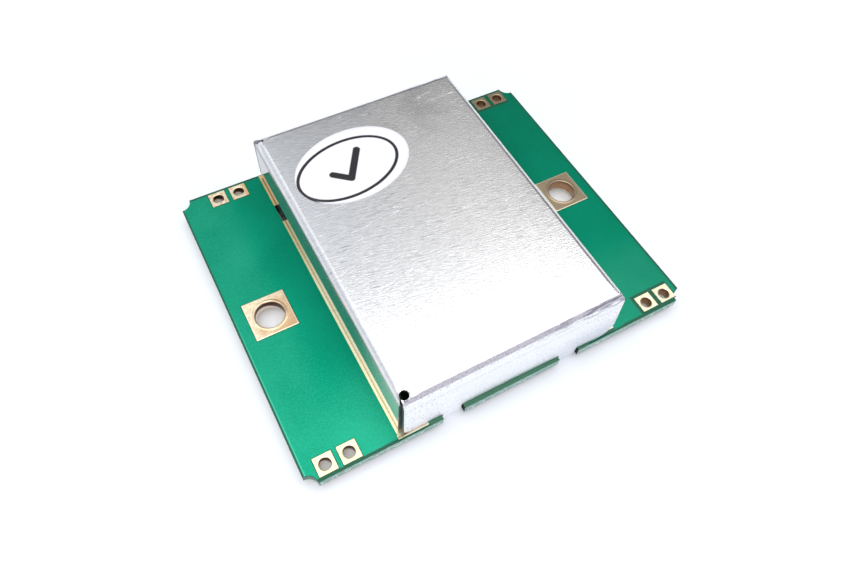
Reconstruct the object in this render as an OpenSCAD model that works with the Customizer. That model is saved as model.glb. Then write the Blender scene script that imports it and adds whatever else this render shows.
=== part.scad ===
// Doppler radar sensor module: a circuit board with a folded aluminium can over its circuit.
// The origin is the middle of the surface that it lies on. +X runs along the long edge, +Y from
// the near edge to the far edge and +Z up. All sizes are in millimetres.

/* [Board] */
// Length of the board
board_w = 46.3; // [45:0.1:52]
// Depth of the board
board_d = 38.1; // [37:0.1:42]
// Thickness of the laminate
board_t = 1.2; // [0.8:0.1:2.4]
// Radius of the hollow that is cut from each corner
corner_r = 1.2; // [0.4:0.1:1.4]
// Thickness of the gold-plated copper on each face
copper_t = 0.07; // [0.04:0.01:0.15]
// Thickness of the plating in the holes
plating_t = 0.06; // [0.03:0.01:0.1]
// Width of the ground strip outside the can's side walls
strip_out = 0.4; // [0.34:0.02:0.8]
// Length of the strip's wide corners along the near and far edges
strip_corner = 3.4; // [2.4:0.1:4]
// Bare laminate between the strip's wide corners and the board's near and far edges
strip_edge = 0.16; // [0.1:0.02:0.3]
// Width of the ground strip inside the can's walls
strip_in = 0.3; // [0.1:0.05:0.6]

/* [Mounting holes] */
// Distance between the two mounting holes
mount_spacing = 38.5; // [37.5:0.1:40]
// Diameter of a mounting hole inside its plating
mount_d = 3.2; // [2.2:0.1:3.6]
// Side of a mounting hole's square pad
mount_pad = 4.8; // [4.4:0.1:5.2]
// Width of the raised lip around a mounting hole
lip_w = 0.3; // [0.1:0.05:0.35]
// Height of the raised lip above its pad
lip_h = 0.05; // [0.02:0.01:0.1]

/* [Terminals] */
// Diameter of a terminal hole inside its plating
term_d = 1.2; // [0.8:0.05:1.5]
// Side of a terminal's square pad
term_pad = 2; // [1.7:0.05:2.2]
// Distance between the two holes of a pair
term_pitch = 2.54; // [2.5:0.01:3]
// Distance from a terminal hole to the near or far edge
term_edge = 1.35; // [1.2:0.05:1.6]
// Distance from the left edge to the outer hole of the near left pair
near_left_inset = 2.45; // [2.3:0.05:5]
// Distance from the ground strip to the inner hole of the far left pair
far_left_inset = 2.86; // [2.3:0.02:5]
// Distance from the right edge to the outer hole of the near right pair
near_right_inset = 1.95; // [1.8:0.05:5]
// Distance from the right edge to the outer hole of the far right pair
far_right_inset = 2.4; // [1.8:0.05:5]

/* [Shield can] */
// Width of the can across its side walls
can_w = 25.9; // [25:0.1:28]
// Distance of the can's flaps from the board's near and far edges
can_setback = 0.5; // [0.45:0.05:1]
// Height of the roof above the board's upper face
can_h = 6.85; // [6:0.05:10]
// Thickness of the sheet
sheet_t = 0.7; // [0.4:0.05:0.9]
// Inner radius of the folds
bend_r = 0.2; // [0.1:0.05:0.5]
// Distance of a flap's cut edge from the side wall's outer face
flap_inset = 0.26; // [0.2:0.02:0.6]
// Slit between a flap and the end of a side wall
corner_gap = 0.3; // [0.05:0.05:0.5]
// Radius of the lower corners of a flap
flap_corner_r = 2; // [0.5:0.1:3]
// Diameter of the relief hole at each corner of the roof
relief_d = 1.1; // [0.6:0.05:1.3]

/* [Tabs] */
// Width of a bent tab
tab_w = 2.2; // [1.6:0.1:3]
// Distance of the bent tabs from the middle of the flap
tab_x = 7.1; // [5:0.1:9]
// Length of the foot that is folded under the board
tab_foot = 2.6; // [1.8:0.1:3.2]
// Width of the straight tab under a side wall
side_tab_w = 2.3; // [1.5:0.1:3]
// Distance of the side tabs from the middle of the wall
side_tab_y = 12.4; // [9:0.1:14]
// Play between a tab and its notch or slot
tab_play = 0.15; // [0.05:0.05:0.3]
// Open gap outside the straight tab in its slot
slot_gap = 0.3; // [0.2:0.05:0.38]
// Border of a tab pad around the foot
tab_pad_border = 0.4; // [0.2:0.1:0.8]

/* [Tuning and label] */
// Distance of the resonator, its screw and the label from the can's left wall
tune_x = 8.65; // [7.95:0.05:9.35]
// Place of the resonator, its screw and the label along Y
tune_y = 9.9; // [9:0.1:11]
// Diameter of the ceramic puck
puck_d = 5.2; // [4.5:0.1:6]
// Height of the ceramic puck
puck_h = 2.2; // [1.5:0.1:2.6]
// Diameter of the tuning screw
screw_d = 4; // [3:0.5:5]
// Length of the tuning screw
screw_l = 2.6; // [2:0.1:2.8]
// Depth of the screw's end below the roof's outer face
screw_sink = 0.15; // [0.05:0.05:0.3]
// Width of the screwdriver slot
drive_w = 0.8; // [0.5:0.1:1]
// Depth of the screwdriver slot
drive_h = 0.9; // [0.5:0.1:1.2]
// Play between the screw and its collar
thread_play = 0.05; // [0.02:0.01:0.1]
// Wall of the collar that is drawn down from the roof
collar_wall = 0.5; // [0.3:0.1:0.8]
// Depth of the collar below the roof's inner face
collar_h = 1.3; // [0.8:0.1:1.6]
// Long axis of the oval label
label_l = 14; // [12:0.1:14.6]
// Short axis of the oval label
label_w = 10; // [8:0.1:11]
// Turn of the label on the roof, in degrees
label_turn = 10; // [0:0.5:20]
// Thickness of the label
label_t = 0.1; // [0.05:0.01:0.2]

/* [Antennas] */
// Length of a patch along X
patch_l = 6.1; // [5.5:0.1:6.4]
// Width of a patch along Y
patch_w = 8.75; // [7:0.05:9.5]
// Distance between the two patches of a pair
patch_pitch = 19.4; // [18:0.1:20]
// Distance of the patches from the board's short edges
patch_edge = 1.2; // [0.8:0.1:1.4]
// Width of the line along a pair of patches
spine_w = 0.7; // [0.4:0.1:0.9]
// Distance of that line from the can's side wall
spine_out = 1.3; // [1:0.1:1.5]
// Width of the line from the feed to the spine
feed_w = 1.4; // [0.8:0.1:1.8]
// Length of the slits beside the line in a patch
inset_l = 1.6; // [0.8:0.1:2.2]
// Width of those slits
inset_w = 0.4; // [0.2:0.1:0.6]

/* [Circuit] */
// Width of the main lines
line_w = 1.2; // [1:0.1:1.4]
// Width of the supply and signal lines
thin_w = 0.8; // [0.6:0.1:1]
// Gap between the puck and the gate line
couple_gap = 0.3; // [0.1:0.1:0.6]
// Distance of the feed vias from the can's inner side faces
feed_inset = 1.5; // [1.2:0.1:1.8]
// Diameter of a via inside its plating
via_d = 0.4; // [0.3:0.05:0.5]
// Side of a ground pad
ground_pad = 1.2; // [1.1:0.1:1.4]
// Middle radius of the mixer's ring
ring_r = 3.8; // [3.5:0.1:4]
// Line width of the mixer's ring
ring_w = 0.8; // [0.6:0.1:1]
// Place of the transistor along X
fet_x = 3; // [2.4:0.1:3.6]
// Distance of the drain line from the feed via
drain_x = 2.25; // [1.95:0.05:2.75]
// Distance of the ring from the can's middle, to the left
ring_x = 2.5; // [2:0.1:3]
// Distance of the ring from the can's middle, towards the near edge
ring_y = 6; // [5.6:0.1:6.4]

/* [Chip parts] */
// Length of a chip part
chip_l = 1.6; // [1.5:0.05:1.8]
// Width of a chip part
chip_w = 0.8; // [0.6:0.05:1]
// Length of a chip part's metal ends
chip_end = 0.35; // [0.2:0.05:0.45]
// How far the metal ends stand proud of the body
end_wrap = 0.03; // [0.01:0.01:0.06]
// Height of a capacitor
capacitor_h = 0.8; // [0.5:0.05:1]
// Height of a resistor
resistor_h = 0.45; // [0.3:0.05:0.6]
// Diameter of the transistor's body
fet_d = 1.8; // [1.5:0.1:2.1]
// Height of the transistor's body
fet_h = 0.9; // [0.6:0.1:1.2]
// Length of a transistor lead
fet_lead_l = 1; // [0.8:0.1:1.2]
// Width of a lead
lead_w = 0.5; // [0.3:0.05:0.6]
// Thickness of a lead
lead_t = 0.12; // [0.08:0.02:0.2]
// Length of the diode package
diode_l = 2.9; // [2.7:0.1:3.1]
// Width of the diode package
diode_w = 1.3; // [1.2:0.1:1.5]
// Height of the diode package
diode_h = 1; // [0.8:0.05:1.2]
// Distance between the two leads on one side
diode_pitch = 1.9; // [1.7:0.1:2]
// Reach of a diode lead from the package
diode_reach = 0.6; // [0.5:0.05:0.8]

/* [Hidden] */
$fn = 64;
// Margin by which a cut runs past the face that it cuts
past = 0.5;

// Levels, from the surface up: the folded feet, the board, its copper and the can
board_z = sheet_t + copper_t;
top_z = board_z + board_t;
seat_z = top_z + copper_t;
roof_z = top_z + can_h;

// The can and its folds
can_d = board_d - 2 * can_setback;
fold_r = sheet_t + bend_r;
wall_end = can_d / 2 - sheet_t - corner_gap;
flap_half = can_w / 2 - flap_inset;
inner_x = can_w / 2 - sheet_t;
inner_y = can_d / 2 - sheet_t;
notch_y = inner_y - tab_play;
bore_r = screw_d / 2 + thread_play;

// Outer hole of each terminal pair, and the way from it to the second hole
near_y = -board_d / 2 + term_edge;
far_y = board_d / 2 - term_edge;
near_left = [-board_w / 2 + near_left_inset, near_y];
far_left = [-can_w / 2 - strip_out - far_left_inset - term_pitch, far_y];
near_right = [board_w / 2 - near_right_inset, near_y];
far_right = [board_w / 2 - far_right_inset, far_y];
function pair(hole, way) = [hole, hole + [way * term_pitch, 0]];
terminal_holes = concat(pair(near_left, 1), pair(far_left, 1), pair(near_right, -1), pair(far_right, -1));

// Places in the circuit
tuner_x = -can_w / 2 + tune_x;
ring_mid_x = -ring_x;
ring_mid_y = -ring_y;
gate_y = tune_y - puck_d / 2 - couple_gap - line_w / 2;
feed_x = inner_x - feed_inset;
drain_line_x = feed_x - drain_x;
chip_gap = chip_l - 2 * chip_end;
chip_step = chip_gap / 2;
fet_reach = fet_d / 2 + fet_lead_l;
gate_end = -feed_x;
source_y = fet_d / 2 + ground_pad / 2 + lead_w / 2;
diode_pad_y = ring_mid_y - ring_r - 2 * ring_w;
diode_y = diode_pad_y - diode_reach - diode_w / 2;
signal_y = diode_y - diode_w / 2 - diode_reach - line_w;
signal_end = ring_mid_x + ring_r + 2 * line_w;
supply_end = gate_y + 5 * line_w;
supply_via = supply_end + line_w;
block_y = (gate_y + feed_w) / 2;
lo_x = ring_mid_x + ring_r + 2 * line_w;

// Chip parts: place of the middle, and the turn from X
gate_resistor = [gate_end + line_w / 2, gate_y - line_w / 2 - chip_step, 90];
supply_resistor = [drain_line_x, gate_y + line_w / 2 + chip_step, 90];
signal_resistor = [signal_end + chip_step, signal_y, 0];
resistors = [gate_resistor, supply_resistor, signal_resistor];
block_capacitor = [drain_line_x, block_y, 90];
lo_capacitor = [lo_x, ring_mid_y, 0];
supply_capacitor = [drain_line_x + thin_w / 2 + chip_step, supply_end, 0];
signal_capacitor = [ring_mid_x + ring_r, signal_y + thin_w / 2 + chip_step, 90];
capacitors = [block_capacitor, lo_capacitor, supply_capacitor, signal_capacitor];

// Ground pads, and the vias that join both faces
pad_step = chip_step + ground_pad / 2;
ground_places = [
    [fet_x, gate_y - source_y],
    [fet_x, gate_y + source_y],
    [gate_resistor[0], gate_resistor[1] - pad_step],
    [supply_capacitor[0] + pad_step, supply_capacitor[1]],
    [signal_capacitor[0], signal_capacitor[1] + pad_step],
    [signal_resistor[0] + pad_step, signal_y]
];
feed_places = [[feed_x, 0], [-feed_x, 0]];
via_places = concat(ground_places, feed_places, [[drain_line_x, supply_via]]);

laminate_green = [0.08, 0.5, 0.36];
gold = [0.86, 0.76, 0.5];
aluminium = [0.8, 0.81, 0.84];
tin = [0.75, 0.75, 0.73];
ceramic = [0.9, 0.88, 0.82];
plastic = [0.12, 0.12, 0.13];
tan = [0.7, 0.6, 0.47];
brass = [0.78, 0.66, 0.36];
paper = [0.96, 0.96, 0.95];

// Shapes that repeat

// Copies to both signs of X and Y
module four_ways() {
    for (sx = [0, 1], sy = [0, 1])
        mirror([sx, 0, 0]) mirror([0, sy, 0]) children();
}

// A rectangle on the plan from one corner to the opposite one
module area(low, high) {
    translate(low) square(high - low);
}

// A straight line of copper on the plan, with square ends half a width past both points
module run(from, to, w) {
    low = [min(from[0], to[0]), min(from[1], to[1])];
    high = [max(from[0], to[0]), max(from[1], to[1])];
    area(low - [w, w] / 2, high + [w, w] / 2);
}

// Copper on the board's upper face
module upper_copper() {
    translate([0, 0, top_z]) linear_extrude(copper_t) children();
}

// Copper on the board's underside
module lower_copper() {
    translate([0, 0, board_z - copper_t]) linear_extrude(copper_t) children();
}

// Square pads on both faces, joined by the plating of a hole
module eyelet(d, pad) {
    difference() {
        union() {
            upper_copper() square(pad, center = true);
            lower_copper() square(pad, center = true);
            translate([0, 0, board_z]) cylinder(r = d / 2 + plating_t, h = board_t);
        }
        translate([0, 0, board_z - copper_t - past]) cylinder(d = d, h = board_t + 2 * copper_t + 2 * past);
    }
}

// Section of the fold at the roof's edge and of the panel that hangs from it
module folded_edge(half) {
    area([half - sheet_t, seat_z], [half, roof_z - fold_r]);
    translate([half - fold_r, roof_z - fold_r]) difference() {
        intersection() {
            circle(fold_r);
            square(fold_r);
        }
        circle(bend_r);
    }
}

// Face of a flap, with round lower corners
module flap_face() {
    corner = [flap_half - flap_corner_r, seat_z + flap_corner_r];
    area([-flap_half, corner[1]], [flap_half, roof_z]);
    area([-corner[0], seat_z], [corner[0], roof_z]);
    for (side = [-1, 1])
        translate([side * corner[0], corner[1]]) circle(flap_corner_r);
}

// Section of a tab that runs down the flap and folds in under the board, on the plane of Y and Z
module tab_section() {
    face = can_d / 2;
    toe = face - tab_foot;
    difference() {
        union() {
            area([toe, 0], [face - fold_r, seat_z]);
            area([toe, fold_r], [face, seat_z]);
            translate([face - fold_r, fold_r]) circle(fold_r);
        }
        area([toe - past, sheet_t], [face - fold_r, seat_z + past]);
        area([toe - past, fold_r], [face - sheet_t, seat_z + past]);
        translate([face - fold_r, fold_r]) circle(bend_r);
    }
}

// Stands a section on the plane of Y and Z and gives it a width along X, about the middle
module along_x(width) {
    rotate([90, 0, 90]) linear_extrude(width, center = true) children();
}

// Stands a section on the plane of X and Z and gives it a length along Y, about the middle
module along_y(length) {
    rotate([90, 0, 0]) linear_extrude(length, center = true) children();
}

// Board and its copper

module circuit_board() {
    hole_h = board_t + 2 * past;
    color(laminate_green) difference() {
        translate([0, 0, board_z]) linear_extrude(board_t) board_outline();
        translate([0, 0, board_z - past]) {
            for (side = [-1, 1])
                translate([side * mount_spacing / 2, 0]) cylinder(r = mount_d / 2 + plating_t, h = hole_h);
            for (place = terminal_holes)
                translate(place) cylinder(r = term_d / 2 + plating_t, h = hole_h);
            for (place = via_places)
                translate(place) cylinder(r = via_d / 2 + plating_t, h = hole_h);
        }
    }
}

// Plan of the laminate: hollow corners, notches for the bent tabs and slots for the straight ones
module board_outline() {
    difference() {
        square([board_w, board_d], center = true);
        four_ways() {
            translate([board_w, board_d] / 2) circle(corner_r);
            tab_notch();
        }
        side_slots();
    }
}

module tab_notch() {
    half = tab_w / 2 + tab_play;
    area([tab_x - half, notch_y], [tab_x + half, board_d / 2 + past]);
}

module side_slots() {
    half = side_tab_w / 2 + tab_play;
    for (side = [0, 1])
        mirror([side, 0])
            area([inner_x - tab_play, side_tab_y - half], [can_w / 2 + slot_gap, side_tab_y + half]);
}

// A ring under the can's walls and flaps, with wide corners that show beside the flaps
module ground_strip() {
    outer = [can_w / 2 + strip_out, board_d / 2 - strip_edge];
    inner = [inner_x - strip_in, inner_y - strip_in];
    color(gold) upper_copper() difference() {
        area(-outer, outer);
        area(-inner, inner);
        four_ways() area([-past, can_d / 2], [outer[0] - strip_corner, board_d / 2]);
        four_ways() tab_notch();
        side_slots();
    }
}

module tab_pads() {
    half = tab_w / 2 + tab_pad_border;
    low = can_d / 2 - tab_foot - tab_pad_border;
    high = can_d / 2 - fold_r - tab_play;
    color(gold) four_ways() lower_copper() area([tab_x - half, low], [tab_x + half, high]);
}

module mounting_eyelet(side) {
    color(gold) translate([side * mount_spacing / 2, 0]) {
        eyelet(mount_d, mount_pad);
        translate([0, 0, seat_z]) difference() {
            cylinder(r = mount_d / 2 + lip_w, h = lip_h);
            translate([0, 0, -past]) cylinder(d = mount_d, h = lip_h + 2 * past);
        }
    }
}

module mounting_eyelet_left() {
    mounting_eyelet(-1);
}

module mounting_eyelet_right() {
    mounting_eyelet(1);
}

module terminals(holes) {
    color(gold) for (place = holes)
        translate(place) eyelet(term_d, term_pad);
}

module plated_vias() {
    color(gold) for (place = via_places)
        translate([place[0], place[1], board_z]) difference() {
            cylinder(r = via_d / 2 + plating_t, h = board_t);
            translate([0, 0, -past]) cylinder(d = via_d, h = board_t + 2 * past);
        }
}

// Antennas on the underside: a feed, a spine and two patches with slits beside their lines
module antenna_plan() {
    spine_x = can_w / 2 + spine_out;
    patch_x = board_w / 2 - patch_edge - patch_l;
    run([feed_x, 0], [spine_x, 0], feed_w);
    run([spine_x, -patch_pitch / 2], [spine_x, patch_pitch / 2], spine_w);
    for (side = [-1, 1])
        translate([0, side * patch_pitch / 2]) {
            difference() {
                area([patch_x, -patch_w / 2], [patch_x + patch_l, patch_w / 2]);
                area([patch_x - past, -spine_w / 2 - inset_w], [patch_x + inset_l, spine_w / 2 + inset_w]);
            }
            run([spine_x, 0], [patch_x + inset_l, 0], spine_w);
        }
}

module transmit_antenna() {
    color(gold) lower_copper() antenna_plan();
}

module receive_antenna() {
    color(gold) lower_copper() mirror([1, 0]) antenna_plan();
}

// Copper of the oscillator and the mixer

module gate_line() {
    end = fet_x - fet_d / 2 - lead_w / 2;
    color(gold) upper_copper() area([gate_end, gate_y - line_w / 2], [end, gate_y + line_w / 2]);
}

module drain_line() {
    start = fet_x + fet_d / 2 + lead_w / 2;
    color(gold) upper_copper() {
        area([start, gate_y - line_w / 2], [drain_line_x + line_w / 2, gate_y + line_w / 2]);
        area([drain_line_x - line_w / 2, block_y + chip_step], [drain_line_x + line_w / 2, gate_y]);
    }
}

module output_line() {
    low = [drain_line_x - line_w / 2, ring_mid_y - line_w / 2];
    color(gold) upper_copper() {
        area(low, [drain_line_x + line_w / 2, block_y - chip_step]);
        area([lo_x + chip_step, ring_mid_y - line_w / 2], [drain_line_x, ring_mid_y + line_w / 2]);
        run([drain_line_x, 0], [feed_x, 0], line_w);
    }
}

module mixer_ring() {
    color(gold) upper_copper() {
        difference() {
            union() {
                translate([ring_mid_x, ring_mid_y]) circle(ring_r + ring_w / 2);
                area([ring_mid_x, ring_mid_y - line_w / 2], [lo_x - chip_step, ring_mid_y + line_w / 2]);
                area([-feed_x - line_w / 2, ring_mid_y - line_w / 2], [ring_mid_x, ring_mid_y + line_w / 2]);
                for (side = [-1, 1])
                    translate([ring_mid_x + side * diode_pitch / 2, 0])
                        area([-ring_w / 2, diode_pad_y - ring_w / 2], [ring_w / 2, ring_mid_y]);
            }
            translate([ring_mid_x, ring_mid_y]) circle(ring_r - ring_w / 2);
        }
        run([-feed_x, 0], [-feed_x, ring_mid_y], line_w);
    }
}

module supply_line() {
    start = gate_y + line_w / 2 + chip_gap;
    color(gold) upper_copper()
        area([drain_line_x - thin_w / 2, start], [drain_line_x + thin_w / 2, supply_via + thin_w / 2]);
}

module signal_line() {
    start = diode_y - diode_w / 2 - diode_reach / 2;
    color(gold) upper_copper() {
        area([ring_mid_x - thin_w / 2, signal_y], [ring_mid_x + thin_w / 2, start]);
        area([ring_mid_x - thin_w / 2, signal_y - thin_w / 2], [signal_end, signal_y + thin_w / 2]);
    }
}

module ground_pads() {
    color(gold) for (place = ground_places)
        translate(place) upper_copper() square(ground_pad, center = true);
}

// Parts of the circuit

module resonator_puck() {
    color(ceramic) translate([tuner_x, tune_y, top_z]) cylinder(d = puck_d, h = puck_h);
}

module transistor_body() {
    color(ceramic) translate([fet_x, gate_y, seat_z]) cylinder(d = fet_d, h = fet_h);
}

module transistor_leads() {
    color(tin) translate([fet_x, gate_y, seat_z]) difference() {
        for (turn = [0, 90])
            rotate(turn) translate([0, 0, lead_t / 2]) cube([2 * fet_reach, lead_w, lead_t], center = true);
        translate([0, 0, -past]) cylinder(d = fet_d, h = lead_t + 2 * past);
    }
}

module diode_body() {
    color(plastic) translate([ring_mid_x, diode_y, seat_z + lead_t])
        linear_extrude(diode_h - lead_t) square([diode_l, diode_w], center = true);
}

// A lead with its foot on the copper, a riser and a shoulder that meets the package
module diode_lead() {
    shoulder_z = diode_h / 2;
    color(tin) along_x(lead_w) {
        area([diode_w / 2 + diode_reach / 2 - lead_t, 0], [diode_w / 2 + diode_reach, lead_t]);
        area([diode_w / 2 + diode_reach / 2 - lead_t, 0], [diode_w / 2 + diode_reach / 2, shoulder_z]);
        area([diode_w / 2, shoulder_z - lead_t], [diode_w / 2 + diode_reach / 2, shoulder_z]);
    }
}

module diode_leads() {
    translate([ring_mid_x, diode_y, seat_z]) {
        for (side = [-1, 1])
            translate([side * diode_pitch / 2, 0]) diode_lead();
        rotate(180) diode_lead();
    }
}

// Bodies of chip parts, between their metal ends
module chip_bodies(places, h) {
    for (place = places)
        translate([place[0], place[1], seat_z + end_wrap]) rotate(place[2])
            linear_extrude(h - 2 * end_wrap) square([chip_gap, chip_w - 2 * end_wrap], center = true);
}

// The two metal ends of each chip part
module chip_ends(places, h) {
    for (place = places, side = [-1, 1])
        translate([place[0], place[1], seat_z]) rotate(place[2])
            translate([side * (chip_l - chip_end) / 2, 0])
                linear_extrude(h) square([chip_end, chip_w], center = true);
}

module capacitor_bodies() {
    color(tan) chip_bodies(capacitors, capacitor_h);
}

module capacitor_ends() {
    color(tin) chip_ends(capacitors, capacitor_h);
}

module resistor_bodies() {
    color(plastic) chip_bodies(resistors, resistor_h);
}

module resistor_ends() {
    color(tin) chip_ends(resistors, resistor_h);
}

// The can, its screw and the label

module shield_can() {
    color(aluminium) difference() {
        union() {
            translate([0, 0, roof_z - sheet_t]) linear_extrude(sheet_t)
                square([can_w - 2 * fold_r, can_d - 2 * fold_r], center = true);
            for (side = [0, 1]) {
                mirror([side, 0, 0]) along_y(2 * wall_end) folded_edge(can_w / 2);
                mirror([side, 0, 0]) side_tab();
                mirror([0, side, 0]) flap();
            }
            four_ways() translate([tab_x, 0, 0]) along_x(tab_w) tab_section();
            translate([tuner_x, tune_y, roof_z - sheet_t - collar_h])
                cylinder(r = bore_r + collar_wall, h = collar_h + sheet_t / 2);
        }
        four_ways() translate([can_w / 2 - fold_r, can_d / 2 - fold_r, roof_z - fold_r])
            cylinder(d = relief_d, h = fold_r + past);
        translate([tuner_x, tune_y, roof_z - sheet_t - collar_h - past])
            cylinder(r = bore_r, h = sheet_t + collar_h + 2 * past);
    }
}

// A panel folded down along the far edge of the roof
module flap() {
    intersection() {
        along_x(2 * flap_half) folded_edge(can_d / 2);
        along_y(2 * can_d) flap_face();
    }
}

// A straight tab that stands in its slot and ends flush with the board's underside
module side_tab() {
    translate([inner_x, side_tab_y - side_tab_w / 2, board_z])
        cube([sheet_t, side_tab_w, seat_z - board_z]);
}

module tuning_screw() {
    color(brass) translate([tuner_x, tune_y, roof_z - screw_sink - screw_l]) difference() {
        cylinder(d = screw_d, h = screw_l);
        translate([0, 0, screw_l + past - drive_h / 2])
            cube([screw_d + past, drive_w, drive_h + 2 * past], center = true);
    }
}

module inspection_label() {
    step = 360 / 96;
    color(paper) translate([tuner_x, tune_y, roof_z]) rotate(label_turn) linear_extrude(label_t)
        polygon([for (turn = [0 : step : 360 - step]) [label_l / 2 * cos(turn), label_w / 2 * sin(turn)]]);
}

circuit_board();
ground_strip();
tab_pads();
mounting_eyelet_left();
mounting_eyelet_right();
terminals(pair(near_left, 1));  // terminals_near_left
terminals(pair(near_right, -1));  // terminals_near_right
terminals(pair(far_left, 1));  // terminals_far_left
terminals(pair(far_right, -1));  // terminals_far_right
transmit_antenna();
receive_antenna();
plated_vias();
gate_line();
drain_line();
output_line();
mixer_ring();
supply_line();
signal_line();
ground_pads();
resonator_puck();
transistor_body();
transistor_leads();
diode_body();
diode_leads();
capacitor_bodies();
capacitor_ends();
resistor_bodies();
resistor_ends();
shield_can();
tuning_screw();
inspection_label();
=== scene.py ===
import math

import bmesh
import bpy
from mathutils import Matrix, Vector


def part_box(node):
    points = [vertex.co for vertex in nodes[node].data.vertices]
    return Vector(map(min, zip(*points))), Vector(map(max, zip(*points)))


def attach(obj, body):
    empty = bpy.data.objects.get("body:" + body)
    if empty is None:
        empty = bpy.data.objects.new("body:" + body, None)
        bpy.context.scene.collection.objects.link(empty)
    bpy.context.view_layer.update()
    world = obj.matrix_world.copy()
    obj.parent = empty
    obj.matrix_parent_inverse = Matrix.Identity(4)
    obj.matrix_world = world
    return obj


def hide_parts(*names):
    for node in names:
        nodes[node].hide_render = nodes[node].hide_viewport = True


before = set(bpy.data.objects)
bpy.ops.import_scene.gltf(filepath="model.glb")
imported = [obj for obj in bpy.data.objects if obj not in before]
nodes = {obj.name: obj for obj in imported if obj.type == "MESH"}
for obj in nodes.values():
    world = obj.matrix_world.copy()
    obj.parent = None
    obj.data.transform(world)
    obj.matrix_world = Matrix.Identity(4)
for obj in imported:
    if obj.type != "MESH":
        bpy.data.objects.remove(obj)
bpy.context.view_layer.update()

# Circuit board: a routed plate of glass-fibre laminate under a green solder mask. The mask looks light
# where ground copper lies below it and dark where the copper stops short, along the edges and around
# the right-hand terminals. The cut sides show the bare, rough laminate.
MM = 0.001
board_low, board_high = (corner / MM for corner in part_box("circuit_board"))
board_x, board_y = board_high.x, board_high.y
board_bottom, board_top = board_low.z, board_high.z
can_x, can_y, roof_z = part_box("shield_can")[1] / MM
corner_r = 1.2
plating = 0.06
mount_x = sum((corner.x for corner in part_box("mounting_eyelet_right")), 0.0) / MM / 2
mount_bore = 1.6
terminal_bore = 0.6
terminal_half = 1.0
mount_half = 2.4
edge_round = 0.05
tab_mid, notch_half = 7.1, 1.25
slot_mid, slot_half, slot_out = 12.4, 1.3, 0.30
tab_room = 0.85
TERMINAL_NODES = ("terminals_near_left", "terminals_near_right",
                  "terminals_far_left", "terminals_far_right")


def terminal_places(node):
    """Middles of the two plated holes of a terminal pair, in millimetres."""
    low, high = (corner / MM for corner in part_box(node))
    middle_y = (low.y + high.y) / 2
    return [(low.x + terminal_half, middle_y), (high.x - terminal_half, middle_y)]


def circle(centre, radius, steps=48, start=0.0, sweep=360.0):
    """Points along a circle or an arc."""
    count = steps if sweep == 360.0 else steps + 1
    turns = [math.radians(start + sweep * i / steps) for i in range(count)]
    return [(centre[0] + radius * math.cos(t), centre[1] + radius * math.sin(t)) for t in turns]


def plate(name, outlines, low, high, rounding):
    """A flat plate with holes, cut from outlines in millimetres, with small round edges."""
    curve = bpy.data.curves.new(name, "CURVE")
    curve.dimensions = "2D"
    curve.fill_mode = "BOTH"
    curve.extrude = ((high - low) / 2 - rounding) * MM
    curve.bevel_depth = rounding * MM
    curve.bevel_resolution = 1
    curve.offset = -rounding * MM
    for outline in outlines:
        spline = curve.splines.new("POLY")
        spline.points.add(len(outline) - 1)
        for point, (x, y) in zip(spline.points, outline):
            point.co = (x * MM, y * MM, 0.0, 1.0)
        spline.use_cyclic_u = True
    shape = bpy.data.objects.new(name, curve)
    bpy.context.scene.collection.objects.link(shape)
    bpy.context.view_layer.update()
    mesh = bpy.data.meshes.new_from_object(shape.evaluated_get(bpy.context.evaluated_depsgraph_get()))
    mesh.transform(Matrix.Translation((0.0, 0.0, (low + high) / 2 * MM)))
    bpy.data.objects.remove(shape)
    return mesh


def piece(name, mesh, *replaced, smooth=40.0):
    """Puts a mesh in the scene as a piece of the part, in place of the CAD nodes named."""
    mesh.name = name
    mesh.shade_smooth()
    mesh.set_sharp_from_angle(angle=math.radians(smooth))
    made = bpy.data.objects.new(name, mesh)
    bpy.context.scene.collection.objects.link(made)
    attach(made, "root")
    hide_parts(*replaced)
    return made


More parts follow.
